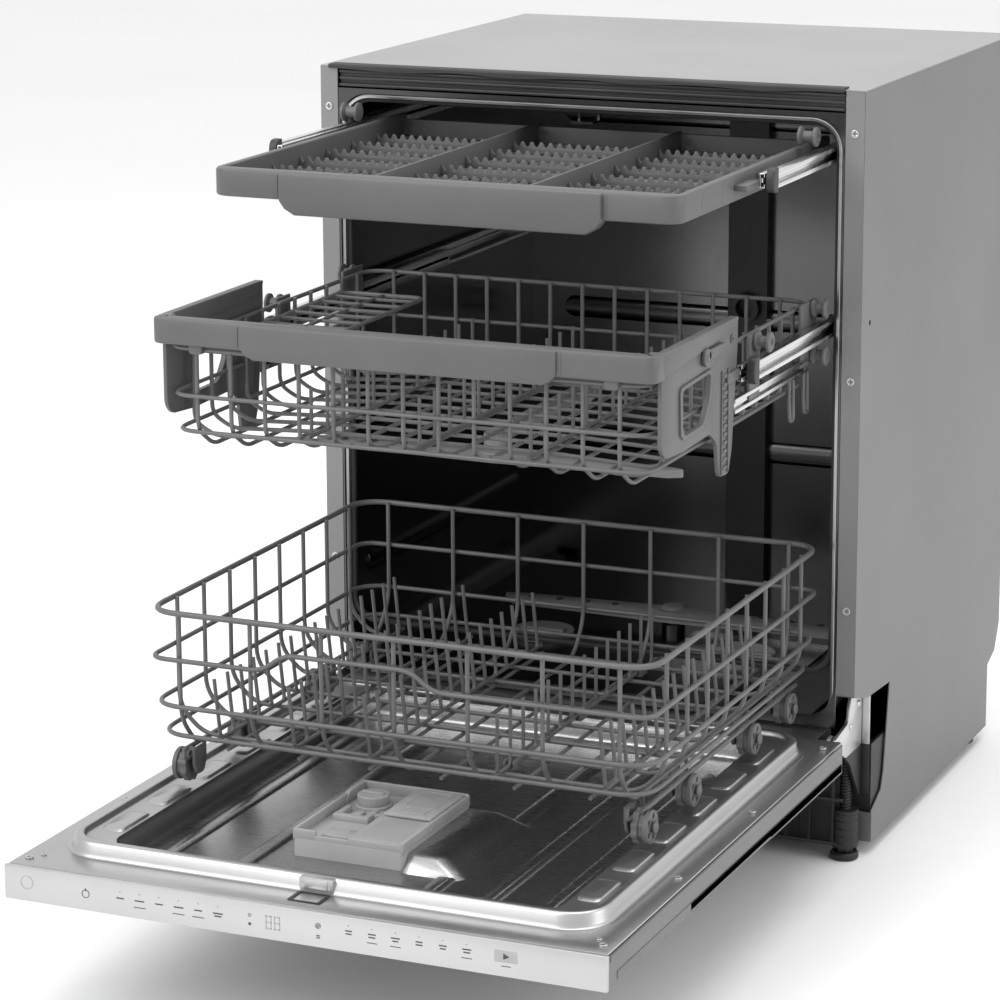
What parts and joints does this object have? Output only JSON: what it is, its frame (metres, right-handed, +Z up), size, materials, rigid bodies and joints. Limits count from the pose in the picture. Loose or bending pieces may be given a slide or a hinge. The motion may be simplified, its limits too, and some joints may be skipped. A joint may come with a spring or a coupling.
{
  "type": "built-in dishwasher",
  "caption": "Built-in front-loading dishwasher with a drop-down door open, two wire racks and a cutlery tray on runners, spray arms, pumps and a stainless tub.",
  "frame": {"origin": "on the floor under the middle of the whole open machine", "axes": "+Z up, the door folds down and the racks slide out towards -Y, +X to the right as seen from the front"},
  "size_m": [0.598, 1.23, 0.815],
  "materials": {
    "zinc_sheet": "satin grey coated steel sheet",
    "top_sheet": "smooth light grey coated steel sheet",
    "stainless": "bright rolled stainless steel",
    "stainless_fine": "finely brushed stainless steel",
    "black_plastic": "black moulded plastic",
    "grey_plastic": "dark grey moulded plastic",
    "light_plastic": "mid grey moulded plastic",
    "white_plastic": "off-white moulded plastic",
    "black_rubber": "black rubber",
    "coated_wire": "grey nylon-coated steel wire",
    "cast_weight": "rough cast iron",
    "steel": "zinc plated steel",
    "board": "green circuit board"
  },
  "bodies": {
    "cabinet": {"side_panel_left": "zinc_sheet", "side_panel_right": "zinc_sheet", "top_panel": "top_sheet", "back_panel": "zinc_sheet", "moisture_strip": "black_rubber", "top_front_rail": "grey_plastic", "base_tray": "black_plastic", "leveling_feet": "black_plastic", "ballast_weight": "cast_weight", "tub": "stainless", "tub_seal": "black_rubber", "sump": "black_plastic", "filter_plate": "stainless_fine", "softener_tank": "white_plastic", "circulation_pump": "black_plastic", "drain_pump": "black_plastic", "inlet_valve": "white_plastic", "power_gland": "black_plastic", "supply_column": "grey_plastic", "hinge_brackets": "steel", "balance_springs": "steel", "cabinet_screws": "steel", "tray_fixed_rails": "stainless_fine", "middle_fixed_rails": "stainless_fine"},
    "filter": {"filter_cylinder": "light_plastic"},
    "salt_lid": {"salt_cap": "grey_plastic"},
    "lower_arm": {"lower_spray_arm": "grey_plastic"},
    "top_arm": {"top_spray_arm": "grey_plastic"},
    "door": {"door_shell": "zinc_sheet", "door_liner": "stainless", "control_strip": "stainless_fine", "control_board": "board", "dispenser_body": "light_plastic", "door_bottom_seal": "black_rubber", "hinge_arms": "steel"},
    "detergent_lid": {"dispenser_lid": "light_plastic"},
    "rinse_cap": {"rinse_aid_cap": "light_plastic"},
    "claw": {"latch_claw": "steel"},
    "tray": {"tray_body": "grey_plastic", "tray_dividers": "grey_plastic", "tray_slides": "stainless_fine"},
    "tray_runner": {"tray_runners": "stainless_fine"},
    "middle_carriage": {"middle_slides": "stainless_fine", "lift_housings": "grey_plastic"},
    "middle_runner": {"middle_runners": "stainless_fine"},
    "middle_basket": {"middle_floor": "coated_wire", "middle_fence": "coated_wire", "middle_band": "grey_plastic", "middle_feed_pipe": "grey_plastic"},
    "levers": {"lift_levers": "grey_plastic"},
    "shelf": {"cup_shelf": "coated_wire"},
    "middle_arm": {"middle_spray_arm": "grey_plastic"},
    "lower_basket": {"lower_floor": "coated_wire", "lower_fence": "coated_wire", "wheel_carriers": "grey_plastic"},
    "tines": {"folding_tines": "coated_wire"},
    "wheels_1": {"wheel_pair_1": "grey_plastic"},
    "wheels_2": {"wheel_pair_2": "grey_plastic"},
    "wheels_3": {"wheel_pair_3": "grey_plastic"},
    "wheels_4": {"wheel_pair_4": "grey_plastic"}
  },
  "joints": [
    {"name": "door_hinge", "type": "hinge", "parent": "cabinet", "child": "door", "pos_m": [0, 0.0515, 0.14], "axis": [-1, 0, 0], "range_deg": [0, 0.1]},
    {"name": "lower_rack_slide", "type": "slide", "parent": "cabinet", "child": "lower_basket", "axis": [0, 1, 0], "range_m": [0, 0.498]},
    {"name": "middle_rack_slide", "type": "slide", "parent": "cabinet", "child": "middle_carriage", "axis": [0, 1, 0], "range_m": [0, 0.48]},
    {"name": "middle_runner_slide", "type": "slide", "parent": "cabinet", "child": "middle_runner", "axis": [0, 1, 0], "range_m": [0, 0.24]},
    {"name": "cutlery_tray_slide", "type": "slide", "parent": "cabinet", "child": "tray", "axis": [0, 1, 0], "range_m": [0, 0.384]},
    {"name": "tray_runner_slide", "type": "slide", "parent": "cabinet", "child": "tray_runner", "axis": [0, 1, 0], "range_m": [0, 0.192]},
    {"name": "middle_rack_lift", "type": "slide", "parent": "middle_carriage", "child": "middle_basket", "axis": [0, 0, -1], "range_m": [0, 0.05]},
    {"name": "lift_lever_press", "type": "hinge", "parent": "middle_carriage", "child": "levers", "pos_m": [0, -0.265, 0.604], "axis": [1, 0, 0], "range_deg": [0, 20], "stiffness_Nm_per_rad": 0.06, "springref_deg": -5.73},
    {"name": "cup_shelf_fold", "type": "hinge", "parent": "middle_basket", "child": "shelf", "pos_m": [-0.236, -0.178, 0.588], "axis": [0, -1, 0], "range_deg": [0, 80]},
    {"name": "lower_arm_spin", "type": "hinge", "parent": "cabinet", "child": "lower_arm", "pos_m": [0, 0.335, 0.175], "axis": [0, 0, 1], "continuous": true},
    {"name": "middle_arm_spin", "type": "hinge", "parent": "middle_basket", "child": "middle_arm", "pos_m": [0, -0.163, 0.47], "axis": [0, 0, 1], "continuous": true},
    {"name": "top_arm_spin", "type": "hinge", "parent": "cabinet", "child": "top_arm", "pos_m": [0, 0.335, 0.765], "axis": [0, 0, 1], "continuous": true},
    {"name": "tine_row_fold", "type": "hinge", "parent": "lower_basket", "child": "tines", "pos_m": [0.09, -0.169, 0.2138], "axis": [0, 1, 0], "range_deg": [0, 85]},
    {"name": "filter_twist", "type": "hinge", "parent": "cabinet", "child": "filter", "pos_m": [0.105, 0.265, 0.13], "axis": [0, 0, 1], "range_deg": [0, 90]},
    {"name": "salt_cap_twist", "type": "hinge", "parent": "cabinet", "child": "salt_lid", "pos_m": [-0.13, 0.265, 0.155], "axis": [0, 0, 1], "range_deg": [0, 270]},
    {"name": "detergent_lid_slide", "type": "slide", "parent": "door", "child": "detergent_lid", "axis": [0, -1, 0], "range_m": [0, 0.066]},
    {"name": "rinse_cap_twist", "type": "hinge", "parent": "door", "child": "rinse_cap", "pos_m": [-0.053, -0.339, 0.16], "axis": [0, 0, 1], "range_deg": [0, 90]},
    {"name": "latch_claw_turn", "type": "hinge", "parent": "door", "child": "claw", "pos_m": [0, -0.585, 0.138], "axis": [1, 0, 0], "range_deg": [0, 45]},
    {"name": "wheel_roll_1", "type": "hinge", "parent": "lower_basket", "child": "wheels_1", "pos_m": [0, -0.372, 0.184], "axis": [-1, 0, 0], "range_deg": [0, 1700]},
    {"name": "wheel_roll_2", "type": "hinge", "parent": "lower_basket", "child": "wheels_2", "pos_m": [0, -0.257, 0.184], "axis": [-1, 0, 0], "range_deg": [0, 1700]},
    {"name": "wheel_roll_3", "type": "hinge", "parent": "lower_basket", "child": "wheels_3", "pos_m": [0, -0.085, 0.184], "axis": [-1, 0, 0], "range_deg": [0, 1700]},
    {"name": "wheel_roll_4", "type": "hinge", "parent": "lower_basket", "child": "wheels_4", "pos_m": [0, 0.025, 0.184], "axis": [-1, 0, 0], "range_deg": [0, 1700]}
  ],
  "couplings": [
    {"joint": "middle_runner_slide", "follows": "middle_rack_slide", "ratio": 0.5},
    {"joint": "tray_runner_slide", "follows": "cutlery_tray_slide", "ratio": 0.5},
    {"joint": "wheel_roll_1", "follows": "lower_rack_slide", "rad_per_m": 58.824},
    {"joint": "wheel_roll_2", "follows": "lower_rack_slide", "rad_per_m": 58.824},
    {"joint": "wheel_roll_3", "follows": "lower_rack_slide", "rad_per_m": 58.824},
    {"joint": "wheel_roll_4", "follows": "lower_rack_slide", "rad_per_m": 58.824}
  ]
}
